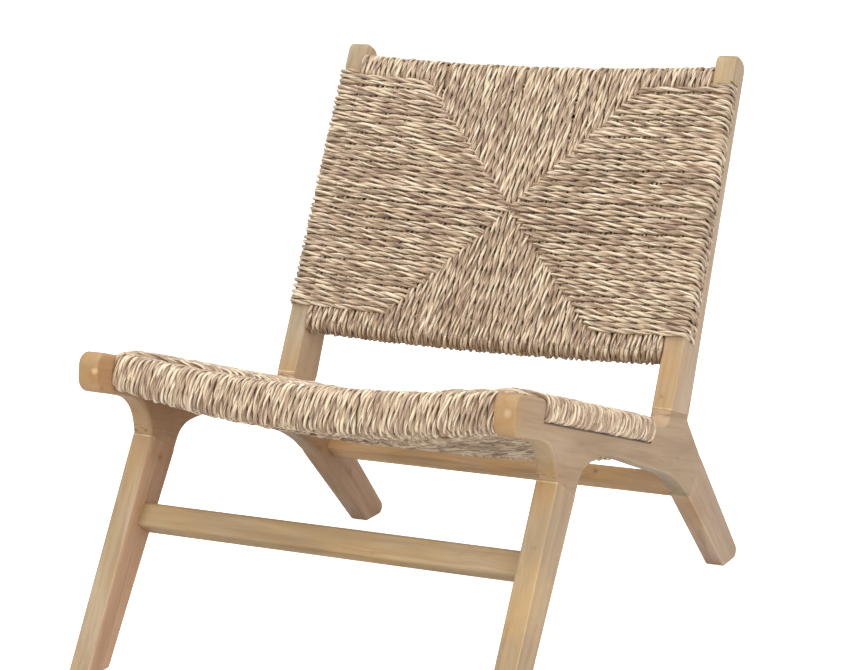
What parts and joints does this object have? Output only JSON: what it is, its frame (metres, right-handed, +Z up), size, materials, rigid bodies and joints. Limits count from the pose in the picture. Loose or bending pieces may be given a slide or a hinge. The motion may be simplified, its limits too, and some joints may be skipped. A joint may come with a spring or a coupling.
{
  "type": "lounge chair",
  "caption": "Low lounge chair with two flat wooden side frames, raked legs and back, and a seat and back of woven two-ply cord wrapped round bowed rails.",
  "frame": {"origin": "on the floor, under the middle of the chair's outer box", "axes": "+Z up, +Y towards the back of the chair, so the front faces -Y, and +X to the right of someone looking along +Y at the chair"},
  "size_m": [0.6116, 0.8222, 0.7172],
  "materials": {
    "frame_wood": "smooth planed light hardwood, thin matte oil",
    "cross_wood": "smooth planed light hardwood, thin matte oil",
    "dowel_wood": "turned hardwood dowel",
    "woven_cord": "two-ply twisted natural fibre cord, matte"
  },
  "bodies": {
    "root": {"right_front_leg": "frame_wood", "left_front_leg": "frame_wood", "right_rear_leg": "frame_wood", "left_rear_leg": "frame_wood", "right_back_post": "frame_wood", "left_back_post": "frame_wood", "right_seat_side_rail": "frame_wood", "left_seat_side_rail": "frame_wood", "front_seat_rail": "cross_wood", "rear_seat_rail": "cross_wood", "top_back_rail": "cross_wood", "bottom_back_rail": "cross_wood", "front_stretcher": "cross_wood", "rear_stretcher": "cross_wood", "front_leg_dowels": "dowel_wood", "rear_leg_dowels": "dowel_wood", "back_post_dowels": "dowel_wood", "front_seat_rail_dowels": "dowel_wood", "rear_seat_rail_dowels": "dowel_wood", "top_back_rail_dowels": "dowel_wood", "bottom_back_rail_dowels": "dowel_wood", "front_stretcher_dowels": "dowel_wood", "rear_stretcher_dowels": "dowel_wood", "seat_weave": "woven_cord", "back_weave": "woven_cord"}
  },
  "joints": []
}
